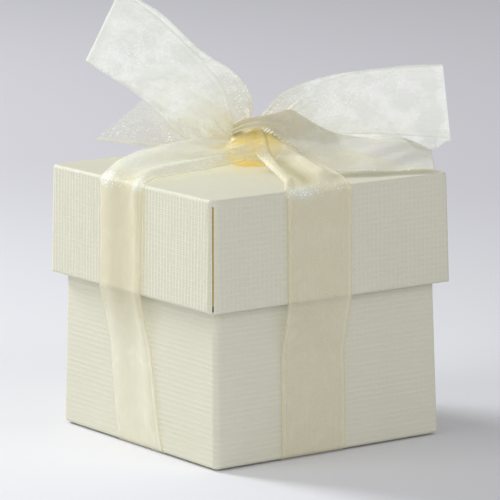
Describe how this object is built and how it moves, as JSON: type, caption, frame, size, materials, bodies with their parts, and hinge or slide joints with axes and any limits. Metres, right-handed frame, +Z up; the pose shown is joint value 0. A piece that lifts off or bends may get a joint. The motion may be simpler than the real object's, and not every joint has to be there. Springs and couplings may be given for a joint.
{
  "type": "favor box",
  "caption": "Small ivory linen-embossed card favor box with a lift-off lid, tied both ways with a sheer ribbon that ends in a bow on top.",
  "frame": {"origin": "on the table under the middle of the tray", "axes": "+Z up along the lid's lift, -Y out of the front wall, -X out of the left wall"},
  "size_m": [0.0608, 0.055, 0.0833],
  "materials": {
    "card": "ivory card embossed with a fine linen weave",
    "ribbon": "sheer ivory organza with a close-woven edge"
  },
  "bodies": {
    "tray": {"ribbon_front_leg": "ribbon", "ribbon_left_leg": "ribbon", "ribbon_rear_leg": "ribbon", "ribbon_right_leg": "ribbon", "ribbon_under_cross": "ribbon", "ribbon_under_front": "ribbon", "ribbon_under_rear": "ribbon", "tray_bottom": "card", "tray_front_left_tab": "card", "tray_front_lining": "card", "tray_front_right_tab": "card", "tray_front_wall": "card", "tray_left_lining": "card", "tray_left_wall": "card", "tray_rear_left_tab": "card", "tray_rear_lining": "card", "tray_rear_right_tab": "card", "tray_rear_wall": "card", "tray_right_lining": "card", "tray_right_wall": "card"},
    "lid": {"lid_front_left_tab": "card", "lid_front_lining": "card", "lid_front_right_tab": "card", "lid_front_wall": "card", "lid_left_lining": "card", "lid_left_wall": "card", "lid_rear_left_tab": "card", "lid_rear_lining": "card", "lid_rear_right_tab": "card", "lid_rear_wall": "card", "lid_right_lining": "card", "lid_right_wall": "card", "lid_top": "card", "ribbon_knot": "ribbon", "ribbon_left_loop": "ribbon", "ribbon_right_loop": "ribbon", "ribbon_left_tail": "ribbon", "ribbon_right_tail": "ribbon", "ribbon_front_top": "ribbon", "ribbon_left_top": "ribbon", "ribbon_rear_top": "ribbon", "ribbon_right_top": "ribbon", "ribbon_front_drop": "ribbon", "ribbon_left_drop": "ribbon", "ribbon_rear_drop": "ribbon", "ribbon_right_drop": "ribbon"}
  },
  "joints": [
    {"name": "lid_lift", "type": "slide", "parent": "tray", "child": "lid", "axis": [0, 0, 1], "range_m": [0, 0.03], "deforming": ["ribbon_front_leg", "ribbon_left_leg", "ribbon_rear_leg", "ribbon_right_leg"]}
  ]
}
